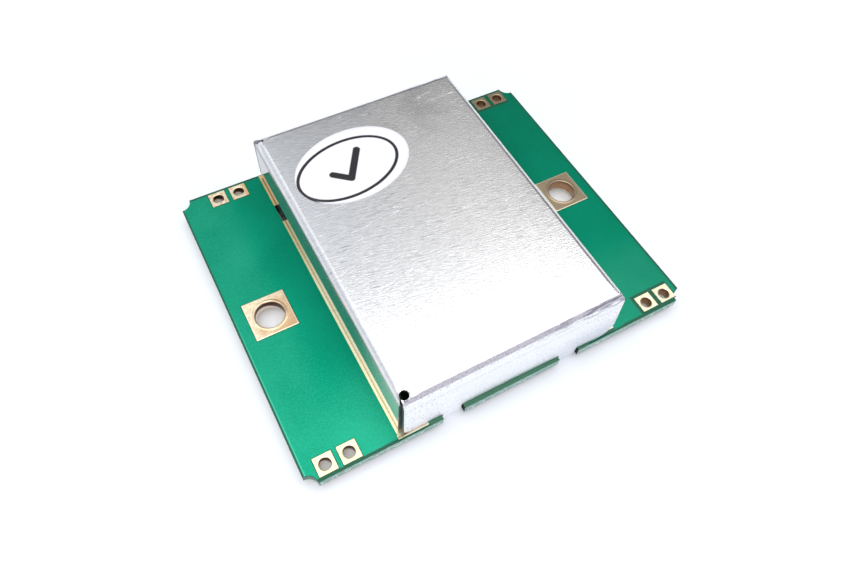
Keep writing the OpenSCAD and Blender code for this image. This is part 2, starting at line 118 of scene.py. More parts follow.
class Wire:
    """A shader socket: arithmetic on it adds Math nodes, and node() adds any other node."""

    def __init__(self, tree, socket=None):
        self.tree, self.socket = tree, socket

    def node(self, kind, settings=None, inputs=None, output=0):
        made = self.tree.nodes.new("ShaderNode" + kind)
        for name, value in (settings or {}).items():
            setattr(made, name, value)
        for name, value in (inputs or {}).items():
            if isinstance(value, Wire):
                self.tree.links.new(value.socket, made.inputs[name])
            else:
                made.inputs[name].default_value = value
        return Wire(self.tree, made.outputs[output])

    def math(self, operation, *values):
        return self.node("Math", {"operation": operation}, dict(enumerate(values)))

    def __add__(self, other):
        return self.math("ADD", self, other)

    def __sub__(self, other):
        return self.math("SUBTRACT", self, other)

    def __rsub__(self, other):
        return self.math("SUBTRACT", other, self)

    def __mul__(self, other):
        return self.math("MULTIPLY", self, other)

    def __truediv__(self, other):
        return self.math("DIVIDE", self, other)

    def __pow__(self, other):
        return self.math("POWER", self, other)

    def __abs__(self):
        return self.math("ABSOLUTE", self)

    __radd__ = __add__
    __rmul__ = __mul__

    def least(self, other):
        return self.math("MINIMUM", self, other)

    def most(self, other):
        return self.math("MAXIMUM", self, other)

    def rise(self, low, high):
        """0 below low and 1 above high, with a soft change between."""
        limits = {"Value": self, "From Min": low, "From Max": high}
        return self.node("MapRange", {"interpolation_type": "SMOOTHSTEP"}, limits)

    def mix(self, zero, one):
        """The colour zero where this value is 0, and one where it is 1."""
        return self.node("Mix", {"data_type": "RGBA"}, {0: self, 6: zero, 7: one}, 2)

    def axes(self):
        """The three numbers of this vector."""
        return [self.node("SeparateXYZ", {}, {0: self}, axis) for axis in "XYZ"]

    def stretched(self, x, y, z):
        """This vector with each axis times a number."""
        return self.node("VectorMath", {"operation": "MULTIPLY"}, {0: self, 1: (x, y, z)})

    def noise(self, scale, detail=2.0, rough=0.5):
        """Soft noise from 0 to 1, with about scale lumps in each unit of this vector."""
        sockets = {"Vector": self, "Scale": scale, "Detail": detail, "Roughness": rough}
        return self.node("TexNoise", {}, sockets)


def srgb(red, green, blue):
    """The colour that a screen shows as these numbers out of 255."""
    channels = [c / 255 for c in (red, green, blue)]
    linear = [c / 12.92 if c <= 0.04045 else ((c + 0.055) / 1.055) ** 2.4 for c in channels]
    return (*linear, 1.0)


def new_finish(name):
    """A fresh material: the material, its shader, and the place on the piece in millimetres."""
    made = bpy.data.materials.new(name)
    made.use_nodes = True
    tree = made.node_tree
    place = Wire(tree).node("TexCoord", {}, {}, "Object").stretched(1 / MM, 1 / MM, 1 / MM)
    return made, tree.nodes["Principled BSDF"], place


def feed(shader, **sockets):
    """Sets or links the shader's sockets, named with _ for each space."""
    for name, value in sockets.items():
        socket = shader.inputs[name.replace("_", " ")]
        if isinstance(value, Wire):
            value.tree.links.new(value.socket, socket)
        else:
            socket.default_value = value


def bump(height, depth_mm):
    """A normal for a height from 0 to 1 that stands for a depth in millimetres."""
    return height.node("Bump", {}, {"Height": height, "Distance": depth_mm * MM})


def board_outlines():
    """The board's outer edge with hollow corners and tab notches, and all of its holes."""
    notch_in = can_y - tab_room
    far = [(board_x - corner_r, board_y)]
    for mid in (tab_mid, -tab_mid):
        right, left = mid + notch_half, mid - notch_half
        far += [(right, board_y), (right, notch_in), (left, notch_in), (left, board_y)]
    far.append((-board_x + corner_r, board_y))
    outer = circle((board_x, board_y), corner_r, 12, 270, -90)[:-1] + far
    outer += circle((-board_x, board_y), corner_r, 12, 0, -90)[1:]
    outer += [(-x, -y) for x, y in outer]
    slot_low = (can_x - tab_room, slot_mid - slot_half)
    slot_high = (can_x + slot_out, slot_mid + slot_half)
    holes = []
    for side in (1, -1):
        holes.append([(side * slot_low[0], slot_low[1]), (side * slot_high[0], slot_low[1]),
                      (side * slot_high[0], slot_high[1]), (side * slot_low[0], slot_high[1])])
        holes.append(circle((side * mount_x, 0.0), mount_bore + plating, 72))
    for node in TERMINAL_NODES:
        holes += [circle(place, terminal_bore + plating) for place in terminal_places(node)]
    return [outer] + holes


mask_finish, shader, place = new_finish("solder_mask")
x, y, z = place.axes()
edge_gap = (board_x - abs(x)).least(board_y - abs(y))
tongue = 1 - abs(x).rise(9.7, 9.9)
left_ends = abs(y).rise(18.0, 18.2) * (1 - x.rise(-14.0, -12.0))
wider = tongue * 0.36 + x.rise(14.0, 15.0) * 0.12 + left_ends * 0.12
bare = 1 - (edge_gap - wider).rise(0.15, 0.23)
near_left_part = (1 - x.rise(-16.0, -14.0)) * (1 - y.rise(-4.0, 4.0))
# Painted highlight: a thin pale mint line just inside the dark margin, on the near left part of the board.
edge_highlight_line = edge_gap.rise(0.20, 0.26) * (1 - edge_gap.rise(0.29, 0.36)) * near_left_part
pads = [(x - at_x, y - at_y, terminal_half)
        for node in TERMINAL_NODES for at_x, at_y in terminal_places(node)]
pads.append((abs(x) - mount_x, y, mount_half))
for off_x, off_y, half in pads:
    bare = bare.most(1 - (abs(off_x) - half).most(abs(off_y) - half).rise(0.05, 0.10))
for node in ("terminals_near_right", "terminals_far_right"):
    (left, pad_y), (right, _) = terminal_places(node)
    beside = (left - terminal_half - x).most(x - right - terminal_half + 0.25)
    above = abs(y - pad_y) - terminal_half
    bare = bare.most(1 - beside.most(above).rise(0.30, 0.44))
underside = 1 - z.rise(board_bottom + 0.2, board_bottom + 0.3)
bare = bare.most(underside)
clouds = place.noise(0.16, 3.0)
grain = place.noise(5.0, 3.0, 0.6)
thread_step_x, thread_step_y = 0.9, 0.7
threads_x = x.math("SINE", x * (math.tau / thread_step_x))
threads_y = y.math("SINE", y * (math.tau / thread_step_y))
weave = threads_x * threads_y * 0.5 + 0.5
over_copper = clouds.rise(0.3, 0.7).mix(srgb(2, 142, 109), srgb(6, 154, 120))
over_copper = (grain.rise(0.40, 0.70) * 0.7).mix(over_copper, srgb(14, 168, 134))
# Painted shade: the mask over copper is darker towards the right side of the board.
over_copper = (x.rise(8.0, 14.0) * 0.5).mix(over_copper, srgb(2, 124, 93))
# Painted shade: the mask is darker beside the can, where the can blocks part of the light.
shade_beside_can = (1 - abs(x).rise(15.0, 19.5)) * y.rise(-15.0, -5.0)
over_copper = (shade_beside_can * 0.40).mix(over_copper, srgb(2, 112, 84))
# Painted highlight: the pale mint line inside the left edge.
over_copper = (edge_highlight_line * 0.5).mix(over_copper, srgb(96, 208, 176))
over_laminate = weave.mix(srgb(7, 84, 59), srgb(16, 99, 72))
front_tongue = tongue * (1 - y.rise(-17.0, -16.0)) * (1 - underside)
over_laminate = front_tongue.mix(over_laminate, srgb(64, 116, 90))
mask_colour = bare.mix(over_copper, over_laminate)
fibres = place.stretched(1.0, 1.0, 7.0).noise(2.4, 4.0, 0.7)
cut_colour = fibres.rise(0.35, 0.7).mix(srgb(104, 154, 132), srgb(222, 244, 235))
dashes = place.stretched(1.0, 1.0, 0.3).noise(2.6, 2.0).rise(0.50, 0.60)
dashes = dashes * (1 - abs(z - board_bottom - 0.35).rise(0.12, 0.22))
cut_colour = (dashes * 0.8).mix(cut_colour, srgb(236, 248, 242))
# Painted shade: the cut sides in the board's hollow corners are darker.
hollow = ((board_x - abs(x)) ** 2 + (board_y - abs(y)) ** 2) ** 0.5
cut_colour = ((1 - hollow.rise(corner_r + 0.05, corner_r + 0.15)) * 0.7).mix(cut_colour, srgb(72, 104, 90))
skin = z.rise(board_top - 0.16, board_top - 0.08).most(1 - z.rise(board_bottom + 0.06, board_bottom + 0.12))
cut_colour = skin.mix(cut_colour, srgb(34, 104, 78))
across, _, upright = place.node("NewGeometry", {}, {}, "Normal").axes()
side = 1 - abs(upright).rise(0.35, 0.75)
cut_across = abs(across).rise(0.4, 0.6).most(1 - abs(y).rise(14.0, 14.1))
# Painted shade: the cut sides of the tab notches and the wall slots are nearly black, for the shade in these
# narrow gaps.
notch_and_slot_shade = (1 - abs(x).rise(13.4, 13.5)) * cut_across
cut_colour = notch_and_slot_shade.mix(cut_colour, fibres.mix(srgb(18, 22, 18), srgb(52, 58, 48)))
glossy_part = (1 - x.rise(-19.5, -16.5)).most(1 - y.rise(-14.0, -8.0))
mask_height = grain * 0.08 + weave * underside * 0.05
feed(shader, Base_Color=side.mix(mask_colour, cut_colour), IOR=1.5, Specular_IOR_Level=0.2,
     Metallic=(1 - side) * (1 - bare) * 0.85, Coat_Roughness=0.3,
     Coat_Weight=(1 - side) * glossy_part * (clouds * 0.48),
     Roughness=side * 0.35 + 0.30 + clouds * 0.06 + grain * 0.06,
     Normal=bump(side * fibres * 0.9 + (1 - side) * mask_height, 0.08))

board_mesh = plate("board_plate", board_outlines(), board_bottom, board_top, edge_round)
board = piece("board_plate", board_mesh, "circuit_board")
board.data.materials.clear()
board.data.materials.append(mask_finish)

# Ground strip: a bare ring of gold-plated copper, etched on the board, that the can stands on. The tab
# pads, the antennas and the lines of the circuit are the same thin copper with the same plating.
gold_finish, shader, place = new_finish("gold_plating")
x, y, z = place.axes()
stain = place.noise(0.5, 4.0, 0.6)
pits = place.noise(9.0, 3.0, 0.6)
drag = place.stretched(1.0, 0.3, 1.0).noise(3.0, 3.0)
right_of_pads = x.rise(-16.0, -15.0)
# The middle and far left pads turn tan towards their right and front, in stained patches.
mid_and_far_left_pads = (1 - x.rise(-16.6, -16.0)) * y.rise(-8.0, -5.0)
pad_tan = (stain * 2.4 + (x + mount_x) * 0.22 - y * 0.16).rise(0.6, 2.0) * mid_and_far_left_pads
gold_colour = pad_tan.mix(srgb(252, 240, 208), srgb(206, 172, 132))
# Painted reflection: the gold is paler towards the front, where it mirrors the bright soft box, and tan
# towards the back.
gold_colour = (y.rise(-12.0, 14.0) * right_of_pads * 0.8).mix(gold_colour, srgb(226, 190, 132))
strip_colour = y.rise(9.0, 14.0).mix(srgb(216, 208, 158), srgb(228, 194, 136))
strip_colour = y.rise(0.0, 8.0).mix(srgb(252, 246, 204), strip_colour)
left_strip = right_of_pads * (1 - x.rise(-12.8, -12.4))
gold_colour = (left_strip * 0.9).mix(gold_colour, strip_colour)
# Painted highlight: the near left pads are painted pale cream.
near_pads = (1 - y.rise(-14.0, -10.0)) * (1 - right_of_pads)
gold_colour = near_pads.mix(gold_colour, srgb(252, 240, 190))
mottle = place.noise(2.5, 2.0).rise(0.45, 0.62) * mid_and_far_left_pads
gold_colour = (mottle * 0.35 + mottle * y.rise(10.0, 14.0) * 0.3).mix(gold_colour, srgb(222, 178, 136))
# Painted shade: the copper on the right is darker and greyer, as it mirrors the dim room instead of the soft
# box.
right_copper_shade = x.rise(14.0, 15.0) * y.rise(-12.0, -9.0)
gold_colour = right_copper_shade.mix(gold_colour, stain.mix(srgb(176, 162, 138), srgb(158, 143, 117)))
fresh = stain.mix(srgb(240, 212, 158), srgb(222, 190, 136))
gold_colour = z.rise(board_bottom + 0.2, board_bottom + 0.5).mix(fresh, gold_colour)
gold_colour = (pits.rise(0.48, 0.70) * 0.5).mix(gold_colour, srgb(182, 142, 104))
# Painted highlight: a pale line along the edges of the mounting pads.
border = mount_half - abs(abs(x) - mount_x).most(abs(y))
border = (1 - border.rise(0.08, 0.16)) * border.rise(-0.1, 0.0)
gold_colour = (border * 0.6).mix(gold_colour, srgb(246, 246, 218))
across, _, upright = place.node("NewGeometry", {}, {}, "Normal").axes()
upright = abs(upright)
bore_wall = (1 - upright.rise(0.25, 0.7)) * (1 - z.rise(board_top - 0.03, board_top + 0.01))
# Painted light and shade in the plated bores on the left: dark near the top and on the right, pale on the
# left and lower down.
bore_lit_side = (across * 0.5 + (board_top - z) * 1.5 - 0.75).rise(0.0, 0.5)
bore_colour = bore_lit_side.mix(srgb(78, 52, 42), srgb(240, 226, 210))
right_bores = stain.mix(srgb(184, 146, 114), srgb(152, 116, 86))
bore_colour = x.rise(14.0, 15.0).mix(bore_colour, right_bores)
gold_colour = bore_wall.mix(gold_colour, bore_colour)
lean_middle, lean_slope, lean_curve = 0.05, 0.0087, 0.0012
from_flap = y + (can_y + lean_middle) + x * lean_slope + x * x * lean_curve
# Painted shade: a dark brown line along the foot of the can's walls and front flap, darker towards the back,
# where the can meets the strip.
wall_foot_shade = (1 - abs(abs(x) - can_x).rise(0.04, 0.11)) * (1 - abs(y).rise(18.3, 18.5))
wall_foot_shade = wall_foot_shade.most(1 - abs(from_flap).rise(0.07, 0.15))
gold_colour = (wall_foot_shade * (0.45 + y.rise(6.0, 12.0) * 0.3)).mix(gold_colour, srgb(104, 72, 40))
from_wall = abs(x) - can_x - (1 - y.rise(0.0, 8.0)) * 0.03
upper_strip = (1 - abs(x).rise(14.0, 14.1)) * (z - board_top).rise(-0.3, -0.2)
masked = from_wall.rise(0.28, 0.32) * upper_strip * y.rise(-18.5, -18.4)
gold_colour = masked.mix(gold_colour, srgb(4, 144, 111))
covered = x.rise(9.4, 9.5) * (1 - y.rise(-18.62, -18.58))
gold_colour = covered.mix(gold_colour, srgb(26, 106, 79))
feed(shader, Base_Color=gold_colour, Metallic=1 - covered,
     Roughness=0.22 + drag * 0.12 + pits * 0.08 + bore_wall * 0.05,
     Normal=bump(drag * 0.6 + pits * 0.4, 0.008))
COPPER_NODES = ("ground_strip", "tab_pads", "transmit_antenna", "receive_antenna", "plated_vias",
                "gate_line", "drain_line", "output_line", "mixer_ring", "supply_line", "signal_line",
                "ground_pads")


def dress(finish, *names):
    """Gives CAD nodes that keep their shape a finish."""
    for name in names:
        nodes[name].data.materials.clear()
        nodes[name].data.materials.append(finish)


dress(gold_finish, *COPPER_NODES)

# Mounting eyelets: a square gold pad on each face and the plated hole that joins them. The copper swells
# a little around the hole, where the plating is thickest, and rounds over into the bore.
copper = 0.07
lip = 0.05
lip_profile = ((0.42, 0.0), (0.36, 0.0), (0.30, 0.15), (0.22, 0.75))
flat_profile = ((0.22, 0.0), (0.16, 0.0))


def eyelet(bm, centre, bore, half, swell, steps=64):
    """Adds one plated hole with a square pad on both faces to a mesh."""
    round_over = min(0.16, bore * 0.2)
    tops = [("pad", 1.0, 0.0), ("pad", 1.0, copper - 0.02), ("pad", 0.985, copper), ("pad", 0.96, copper)]
    for away, part in lip_profile if swell else flat_profile:
        tops.append(("hole", bore + away, copper + part * swell))
    for turn in (0, 30, 60, 90):
        away = round_over * (1 - math.sin(math.radians(turn)))
        drop = round_over * (1 - math.cos(math.radians(turn)))
        tops.append(("hole", bore + away, copper + swell - drop))
    middle = (board_bottom + board_top) / 2
    ring = [(kind, r, board_top + h) for kind, r, h in tops]
    ring += [(kind, r, 2 * middle - level) for kind, r, level in reversed(ring)]
    ring += [("hole", bore + plating, board_bottom), ("hole", bore + plating, board_top)]
    rows = []
    for kind, r, level in ring:
        row = []
        for i in range(steps):
            turn = 2 * math.pi * i / steps
            c, s = math.cos(turn), math.sin(turn)
            square = half / max(abs(c), abs(s))
            reach = square * r if kind == "pad" else r
            at_x, at_y = centre[0] + reach * c, centre[1] + reach * s
            row.append(bm.verts.new((at_x * MM, at_y * MM, level * MM)))
        rows.append(row)
    join_rings(bm, rows + rows[:1])
    bmesh.ops.recalc_face_normals(bm, faces=bm.faces[:])


def join_rings(bm, rings):
    """Adds a band of faces between each ring of points and the next."""
    for a, b in zip(rings, rings[1:]):
        for i in range(len(a)):
            j = (i + 1) % len(a)
            bm.faces.new((a[i], a[j], b[j], b[i]))


def to_mesh(bm, name):
    """Turns a finished bmesh into a mesh."""
    mesh = bpy.data.meshes.new(name)
    bm.to_mesh(mesh)
    bm.free()
    return mesh


for side_name, sign in (("left", -1), ("right", 1)):
    bm = bmesh.new()
    eyelet(bm, (sign * mount_x, 0.0), mount_bore, mount_half, lip, 96)
    made = piece("eyelet_" + side_name, to_mesh(bm, "eyelet"), "mounting_eyelet_" + side_name)
    made.data.materials.append(gold_finish)

# Terminals: four pairs of small square gold pads with plated holes for the pins of a header. They are
# etched and plated like the mounting eyelets, and lie flat around the hole.
for node in TERMINAL_NODES:
    bm = bmesh.new()
    for hole in terminal_places(node):
        eyelet(bm, hole, terminal_bore, terminal_half, 0.0)
    made = piece("pads_" + node[len("terminals_"):], to_mesh(bm, "pads"), node)
    made.data.materials.append(gold_finish)

# Resonator puck and transistor body: fired white ceramic. The puck is glued to the board, and the
# transistor is held by its soldered leads.
ceramic_finish, shader, place = new_finish("white_ceramic")
chalk = place.noise(5.0, 4.0, 0.6)
feed(shader, Base_Color=chalk.mix(srgb(216, 210, 196), srgb(240, 236, 226)), Roughness=0.45 + chalk * 0.2,
     Normal=bump(chalk, 0.02))
dress(ceramic_finish, "resonator_puck", "transistor_body")

# Chip capacitors: small blocks of fired tan ceramic between tinned ends, which are soldered to the
# lines and pads.
tan_finish, shader, place = new_finish("tan_ceramic")
chalk = place.noise(7.0, 3.0)
feed(shader, Base_Color=chalk.mix(srgb(172, 140, 104), srgb(200, 170, 130)), Roughness=0.4 + chalk * 0.2,
     Normal=bump(chalk, 0.01))
dress(tan_finish, "capacitor_bodies")

# Diode package and chip resistors: black plastic moulded around the pair of diodes, and black glaze
# on the resistors. Both are held by their soldered leads or ends.
black_finish, shader, place = new_finish("black_plastic")
grain = place.noise(12.0, 3.0)
feed(shader, Base_Color=grain.mix(srgb(26, 26, 28), srgb(48, 48, 50)), Roughness=0.35 + grain * 0.25,
     Normal=bump(grain, 0.012))
dress(black_finish, "diode_body", "resistor_bodies")

# Leads and chip ends: tinned copper, stamped for the leads and dipped for the ends, and soldered to
# the lines and pads.
tin_finish, shader, place = new_finish("tinned_metal")
dulled = place.noise(6.0, 3.0)
feed(shader, Base_Color=dulled.mix(srgb(176, 176, 172), srgb(214, 214, 212)), Metallic=1.0,
     Roughness=0.28 + dulled * 0.2, Normal=bump(dulled, 0.02))
dress(tin_finish, "transistor_leads", "diode_leads", "capacitor_ends", "resistor_ends")

# Tuning screw: turned brass with a slot, screwed through the can's roof over the puck. It is set once at
# the factory and lies under the label.
brass_finish, shader, place = new_finish("screw_brass")
turned = place.stretched(0.4, 0.4, 6.0).noise(2.0, 3.0)
feed(shader, Base_Color=turned.mix(srgb(178, 140, 70), srgb(220, 188, 110)), Metallic=1.0,
     Roughness=0.25 + turned * 0.2, Normal=bump(turned, 0.02))
dress(brass_finish, "tuning_screw")

# Shield can: one sheet of soft aluminium, cut flat with relief holes at the corners and folded into a lid.
# Two tabs on each flap pass through the board's notches and fold in under it; a straight tab on each wall
# stands in its slot. The mesh is the flat sheet, cut along the fold lines and then wrapped.
seat_z = board_top + copper
sheet_t = 0.7
fold_r = 0.9
fold_arc = fold_r * math.pi / 2
roof_x, roof_y = can_x - fold_r, can_y - fold_r
wall_drop = roof_z - fold_r - seat_z
wall_u = roof_x + fold_arc + wall_drop
flap_v = roof_y + fold_arc + wall_drop
wall_short = 0.6
wall_end = can_y - wall_short
slit_outer, slit_inner = roof_x + 0.95, roof_x + 0.75
sheet_seen = 0.42
cut_round = 0.05
tab_half, tab_foot = 1.1, 1.7
tab_u = (tab_mid - tab_half, tab_mid + tab_half)
tab_v = flap_v + (seat_z - fold_r) + fold_arc + tab_foot
side_tab_half = 1.15
side_tab = (slot_mid - side_tab_half, slot_mid + side_tab_half)
side_tab_u = wall_u + seat_z - board_bottom
screw_low, screw_high = (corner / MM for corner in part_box("tuning_screw"))
screw_x, screw_y = (screw_low.x + screw_high.x) / 2, (screw_low.y + screw_high.y) / 2
bore_r = 2.05


def sheet_corner(relief_r, flap_half, flap_round, out=0.0, back=0.0):
    """The cut edge at a corner of the flat sheet, from the wall's end round the relief hole to the flap."""
    end = math.degrees(math.asin(back / relief_r))
    hole = circle((roof_x + out, roof_y - back), relief_r, 36, end - 20, -340)
    first, last = (math.asin((w - roof_x) / fold_r) for w in (hole[-1][0], flap_half))
    turns = [first + (last - first) * i / 10 for i in range(11)]
    shoulder = [(roof_x + fold_r * math.sin(turn), roof_y + fold_r * turn) for turn in turns]
    rounded = circle((flap_half - flap_round, flap_v - flap_round), flap_round, 12, 0, 90)
    slit = [(wall_u, wall_end), (slit_outer, wall_end), (slit_inner, roof_y)]
    return slit + hole + shoulder + rounded


def flat_sheet():
    """The two halves of the flat sheet on either side of the screw's bore."""
    right = [(wall_u, side_tab[0]), (side_tab_u, side_tab[0]),
             (side_tab_u, side_tab[1]), (wall_u, side_tab[1])]
    left = [(-u, v) for u, v in reversed(right)]
    tab = [(tab_u[1], flap_v), (tab_u[1], tab_v), (tab_u[0], tab_v), (tab_u[0], flap_v)]
    far_right = sheet_corner(relief_r=0.08, flap_half=can_x - 0.26, flap_round=2.0, out=0.3) + tab
    far_left = sheet_corner(relief_r=0.15, flap_half=can_x - 0.02, flap_round=1.0) + tab
    near_left = sheet_corner(relief_r=0.5, flap_half=can_x - 0.26, flap_round=0.9, out=0.1, back=0.2) + tab
    far_left = [(-u, v) for u, v in reversed(far_left)]
    near_left = [(-u, -v) for u, v in near_left]
    near_right = [(u, -v) for u, v in reversed(far_right)]
    bore = circle((screw_x, screw_y), bore_r, 24, 90, 180)
    other = circle((screw_x, screw_y), bore_r, 24, -90, 180)
    top, bottom = (screw_x, flap_v), (screw_x, -flap_v)
    west = [top] + far_left + left + near_left + [bottom] + list(reversed(bore))
    east = [bottom] + near_right + right + far_right + [top] + list(reversed(other))
    return west, east


def fold(u, v):
    """Where a point of the flat sheet's outer face lies on the folded can."""
    if abs(v) > roof_y - 1e-5 and (abs(u) < roof_x + 0.7 or abs(v) > wall_end + 1e-5):
        out, down = wrap(max(abs(v) - roof_y, 0.0), roof_y)
        drop = min(max(abs(v) - roof_y - fold_arc, 0.0) / wall_drop, 1.0)
        lean = lean_middle
        if v < 0:
            lean += lean_slope * u + lean_curve * u * u
        return u, math.copysign(out + drop * lean, v), down
    if abs(u) > roof_x:
        out, down = wrap(abs(u) - roof_x, roof_x)
        return math.copysign(out, u), v, down
    return u, v, roof_z


def wrap(run, start):
    """Follows the sheet's outer face: over the fold, down, and round the tab's fold under the board."""
    if run < fold_arc:
        turn = run / fold_r
        return start + fold_r * math.sin(turn), roof_z - fold_r * (1 - math.cos(turn))
    run -= fold_arc
    straight = roof_z - 2 * fold_r
    if run < straight:
        return start + fold_r, roof_z - fold_r - run
    run -= straight
    if run < fold_arc:
        turn = run / fold_r
        return start + fold_r * math.cos(turn), fold_r * (1 - math.sin(turn))
    return start - (run - fold_arc), 0.0


bm = bmesh.new()
for half in flat_sheet():
    bm.faces.new([bm.verts.new((u, v, 0.0)) for u, v in half])
bmesh.ops.remove_doubles(bm, verts=bm.verts[:], dist=1e-4)
fold_steps = [fold_arc * i / 10 for i in range(11)]
low_fold = flap_v + seat_z - fold_r
cuts_u = [roof_x + step for step in fold_steps] + [wall_u] + [roof_x * i / 8 for i in range(8)]
cuts_v = [roof_y + step for step in fold_steps] + [flap_v] + [low_fold + step for step in fold_steps]
cuts_v += [roof_y * i / 10 for i in range(10)]
for axis, places in (((1, 0, 0), cuts_u), ((0, 1, 0), cuts_v)):
    for at in sorted({s * p for p in places for s in (1, -1)}):
        whole = bm.verts[:] + bm.edges[:] + bm.faces[:]
        bmesh.ops.bisect_plane(bm, geom=whole, dist=1e-5, plane_co=Vector(axis) * at, plane_no=axis)
uv_span = 100
flat_uv = bm.loops.layers.uv.new("flat_sheet")
for face in bm.faces:
    for loop in face.loops:
        loop[flat_uv].uv = (loop.vert.co.x / uv_span, loop.vert.co.y / uv_span)
for vert in bm.verts:
    vert.co = Vector(fold(vert.co.x, vert.co.y)) * MM
bmesh.ops.recalc_face_normals(bm, faces=bm.faces[:])
if sum(face.normal.z for face in bm.faces) < 0:
    bmesh.ops.reverse_faces(bm, faces=bm.faces[:])

sheet_finish, shader, place = new_finish("folded_aluminium")
flat = place.node("UVMap", {"uv_map": "flat_sheet"}).stretched(uv_span, uv_span, 0)
tilt = math.radians(-9)
u, v, _ = flat.axes()
along = u * math.cos(tilt) + v * math.sin(tilt)
across = v * math.cos(tilt) - u * math.sin(tilt)
streaks = place.node("CombineXYZ", {}, {0: along * 0.9, 1: across * 5.5, 2: 0.0}).noise(1.0, 4.0, 0.65)
hairs = place.node("CombineXYZ", {}, {0: along * 1.3, 1: across * 12.0, 2: 0.0}).noise(1.0, 2.0, 0.6)
drawn = place.node("CombineXYZ", {}, {0: along * 0.45, 1: across * 9.0, 2: 7.0}).noise(1.0, 3.0, 0.7)
blotches = flat.noise(0.22, 3.0)
specks = flat.noise(4.5, 2.0, 0.5)
run = abs(v)
bend = run.rise(roof_y - 0.1, roof_y + 0.3) * (1 - run.rise(roof_y + 1.2, roof_y + 1.7))
flap = run.rise(roof_y + 0.9, roof_y + 1.6)
wall = abs(u).rise(roof_x + 0.6, roof_x + 1.2) * (1 - flap)
sheet_colour = streaks.rise(0.30, 0.72).mix(srgb(232, 232, 234), srgb(248, 248, 249))
# Painted reflection: the drawn lines are painted dark only across the middle of the roof, where the soft
# box's reflection fades out.
middle = (1 - abs(v + 1.5).rise(4.0, 9.0)) * blotches.rise(0.30, 0.55)
sheet_colour = ((1 - drawn.rise(0.30, 0.46)) * middle * 0.8).mix(sheet_colour, srgb(136, 142, 150))
dull_back = blotches.rise(0.44, 0.62) * v.rise(8.0, 13.0) * u.rise(-4.0, 4.0)
sheet_colour = (dull_back * 0.5).mix(sheet_colour, srgb(204, 203, 206))
flecks = flat.noise(5.5, 2.0).rise(0.62, 0.70) * (1 - u.rise(-9.0, -2.0))
sheet_colour = (flecks * 0.6).mix(sheet_colour, srgb(255, 255, 255))
dark_specks = (specks + bend * 0.10).rise(0.60, 0.80) * (0.12 + bend * 0.33)
sheet_colour = dark_specks.mix(sheet_colour, srgb(160, 158, 172))
# The folds at the front and back are darker towards the right, in streaks.
fold_streaks = flat.stretched(0.5, 5.0, 0).noise(1.0, 3.0).rise(0.42, 0.60)
sheet_colour = (bend * u.rise(0.0, 10.0) * fold_streaks * 0.7).mix(sheet_colour, srgb(122, 120, 134))
sheet_colour = (flap * (0.4 + specks)).mix(sheet_colour, srgb(249, 250, 251))
grit = flat.noise(4.2, 3.0, 0.6).rise(0.50, 0.68) * (0.4 + 0.5 * abs(u).rise(5.0, 11.0))
sheet_colour = (flap * grit).mix(sheet_colour, srgb(190, 197, 208))
# Painted shade: the lower right of the flaps is darker and bluer.
low_end = u.rise(1.0, 11.0) * run.rise(roof_y + 3.0, roof_y + 6.5)
sheet_colour = (low_end * flap * 0.6).mix(sheet_colour, srgb(200, 209, 218))
crease = 1 - abs(run - roof_y - fold_arc - 0.7).rise(0.03, 0.08)
sheet_colour = (crease * specks.rise(0.35, 0.55) * 0.4).mix(sheet_colour, srgb(130, 134, 146))
from_hole = ((u + roof_x + 0.1) ** 2 + (v + roof_y - 0.2) ** 2) ** 0.5
smear = (1 - from_hole.rise(0.5, 0.9)) * specks.rise(0.3, 0.6)
sheet_colour = (smear * 0.7).mix(sheet_colour, srgb(96, 106, 110))
# Painted light: the side walls are pale towards their front ends, where more light falls, and mid grey
# towards the back.
front_end = (0 - v).rise(7.0, 17.0)
wall_colour = front_end.mix(srgb(158, 158, 157), srgb(226, 223, 214))
sheet_colour = (wall * 0.9).mix(sheet_colour, wall_colour)
lines = flat.stretched(0.12, 0.8, 0).noise(1.0, 1.0)
patches = flat.noise(0.3, 1.0)
on_roof = 1 - abs(u).rise(roof_x - 0.6, roof_x)
scratches = (1 - abs(lines - 0.5).rise(0.002, 0.007)) * patches.rise(0.53, 0.62) * on_roof
side_bend = abs(u).rise(roof_x + 0.2, roof_x + 0.6) * (1 - abs(u).rise(roof_x + 1.3, roof_x + 2.0))
side_bend = side_bend * (1 - flap)
# Painted reflection: the gold strip mirrored as a gold-brown band at the foot of the side walls, towards
# their front ends.
strip_reflection = (1 - (wall_u - abs(u)).rise(0.2, 1.6)) * wall * front_end
sheet_colour = (strip_reflection * specks.rise(0.3, 0.6) * 0.7).mix(sheet_colour, srgb(190, 146, 84))
sheet_colour = (scratches * 0.7).mix(sheet_colour, srgb(255, 255, 255))
haze = (0.08 + streaks * 0.08 + blotches * 0.04) * (1 - wall * 0.7)
rolled = streaks * 0.35 + hairs * 0.45 + specks * 0.16 - scratches * 0.2
feed(shader, Base_Color=sheet_colour, Metallic=1 - wall * (0.20 + front_end * 0.34),
     Roughness=haze + flap * 0.4 + scratches * 0.2 + side_bend * 0.22,
     Normal=bump(rolled * (1 - wall.most(bend) * 0.9), 0.024))
sheared_finish, shader, place = new_finish("sheared_aluminium")
tears = place.stretched(1.0, 1.0, 0.4).noise(4.0, 3.0)
x, y, _ = place.axes()
